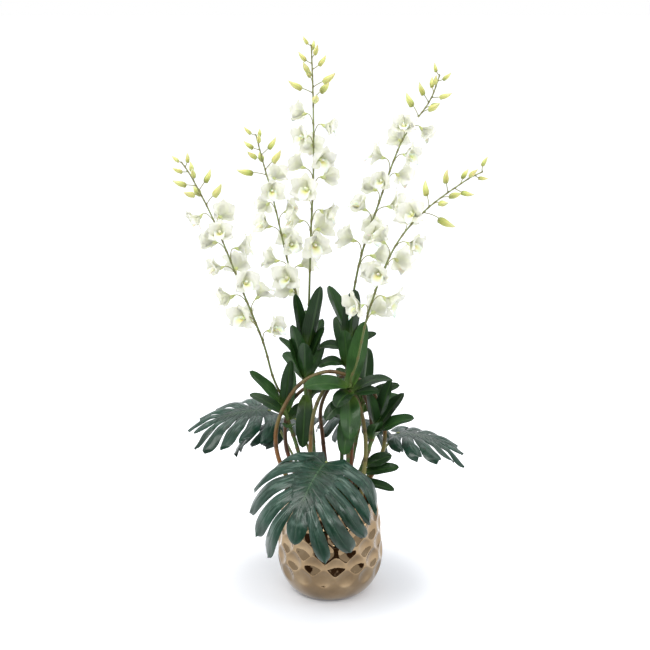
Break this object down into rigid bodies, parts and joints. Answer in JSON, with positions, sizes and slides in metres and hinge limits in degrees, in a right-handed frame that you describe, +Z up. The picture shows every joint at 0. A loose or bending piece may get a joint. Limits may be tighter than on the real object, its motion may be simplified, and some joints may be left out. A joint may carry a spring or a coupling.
{
  "type": "potted dendrobium orchid",
  "caption": "Potted dendrobium orchid: arching sprays of white half-open blooms and green buds over leafy canes, bent stem hoops and split leaves, in a dimpled bronze-glazed pot.",
  "frame": {"origin": "centre of the pot's flat base, on the surface that it stands on", "axes": "+Z up along the pot's axis, -Y towards the front of the arrangement as pictured, +X to the viewer's right"},
  "size_m": [0.5538, 0.4461, 1.059],
  "materials": {
    "pot_glaze": "polished",
    "moss": "matte",
    "petal": "satin",
    "leaf": "satin",
    "stem": "satin",
    "split_leaf": "satin"
  },
  "bodies": {
    "root": {"pot": "pot_glaze", "potting_moss": "moss", "spray_left": "petal", "spray_back_left": "petal", "spray_centre": "petal", "spray_back_right": "petal", "spray_right": "petal", "cane_left": "leaf", "cane_back_left": "leaf", "cane_centre": "leaf", "cane_back_right": "leaf", "cane_right_front": "leaf", "cane_right": "leaf", "cane_back": "leaf", "hoop_outer": "stem", "hoop_inner": "stem", "hoop_back": "stem", "hoop_rear": "stem", "split_leaf_front": "split_leaf", "split_leaf_left": "split_leaf", "split_leaf_right": "split_leaf", "split_leaf_rear": "split_leaf", "split_leaf_back_left": "split_leaf"}
  },
  "joints": []
}
